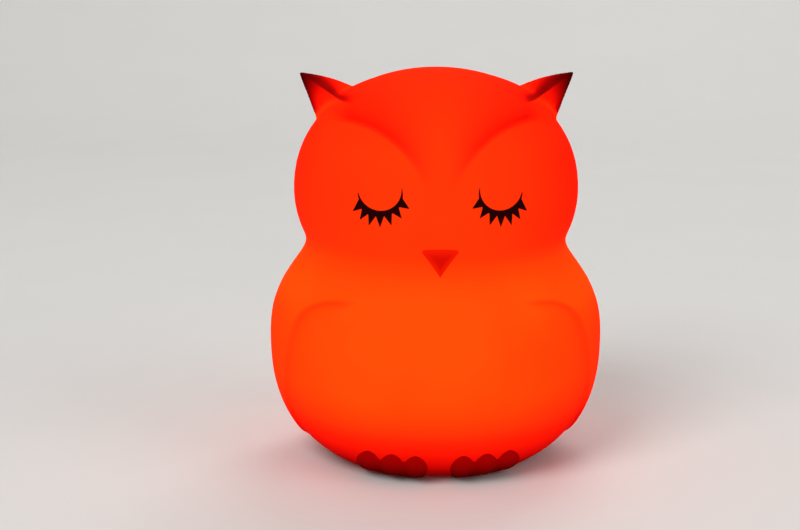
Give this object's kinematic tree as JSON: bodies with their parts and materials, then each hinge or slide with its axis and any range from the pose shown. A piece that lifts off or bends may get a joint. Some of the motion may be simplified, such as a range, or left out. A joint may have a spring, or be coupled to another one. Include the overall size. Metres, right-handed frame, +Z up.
{
  "type": "night light",
  "caption": "Soft silicone sleeping-owl night light, lit red-orange, on a plastic base with a rechargeable cell, power switch and timer button.",
  "frame": {"origin": "on the table under the middle of the base, where the pads rest", "axes": "+Z up to the head, the owl faces -Y, +X towards the owl's left"},
  "size_m": [0.1342, 0.1224, 0.1578],
  "materials": {
    "skin_silicone": "satin",
    "lash_print": "matte",
    "beak_silicone": "satin",
    "toe_silicone": "satin",
    "white_abs": "matte",
    "grey_rubber": "matte",
    "screw_steel": "satin",
    "socket_steel": "satin",
    "button_plastic": "matte",
    "black_plastic": "matte",
    "clear_plastic": "clear",
    "led_package": "satin",
    "circuit_board": "satin",
    "led_board_white": "satin",
    "pouch_foil": "satin",
    "foam_tape": "matte",
    "lead_red": "satin",
    "lead_black": "satin",
    "connector_nylon": "satin",
    "frosted_diffuser": "satin",
    "ribbon_pvc": "satin"
  },
  "bodies": {
    "lamp": {"owl_skin": "skin_silicone", "left_eyelashes": "lash_print", "right_eyelashes": "lash_print", "beak": "beak_silicone", "left_foot": "toe_silicone", "right_foot": "toe_silicone", "base_housing": "white_abs", "bottom_cover": "white_abs", "anti_slip_pad_1": "grey_rubber", "anti_slip_pad_2": "grey_rubber", "anti_slip_pad_3": "grey_rubber", "anti_slip_pad_4": "grey_rubber", "cover_screw_1": "screw_steel", "cover_screw_2": "screw_steel", "cover_screw_3": "screw_steel", "cover_screw_4": "screw_steel", "rear_bezel": "white_abs", "usb_socket": "socket_steel", "button_switch": "black_plastic", "charge_light_pipe": "clear_plastic", "charge_led": "led_package", "port_board": "circuit_board", "battery_cell": "pouch_foil", "battery_tape": "foam_tape", "battery_lead_positive": "lead_red", "battery_lead_negative": "lead_black", "battery_connector": "connector_nylon", "control_board": "circuit_board", "slide_switch": "black_plastic", "mcu_chip": "black_plastic", "charge_chip": "black_plastic", "inductor": "black_plastic", "capacitor": "pouch_foil", "tap_sensor": "screw_steel", "board_screw_1": "screw_steel", "board_screw_2": "screw_steel", "led_board": "led_board_white", "led_1": "led_package", "led_2": "led_package", "led_3": "led_package", "led_4": "led_package", "led_5": "led_package", "led_6": "led_package", "led_screw_1": "screw_steel", "led_screw_2": "screw_steel", "diffuser_dome": "frosted_diffuser", "port_cable": "ribbon_pvc", "port_connector": "connector_nylon", "led_cable": "ribbon_pvc", "led_connector": "connector_nylon"},
    "power_knob": {"switch_knob": "black_plastic"},
    "press_button": {"timer_button": "button_plastic"}
  },
  "joints": [
    {"name": "power_switch_slide", "type": "slide", "parent": "lamp", "child": "power_knob", "axis": [1, 0, 0], "range_m": [-0.003, 0]},
    {"name": "timer_button_press", "type": "slide", "parent": "lamp", "child": "press_button", "axis": [0, -1, 0], "range_m": [0, 0.0008], "stiffness_N_per_m": 300}
  ]
}
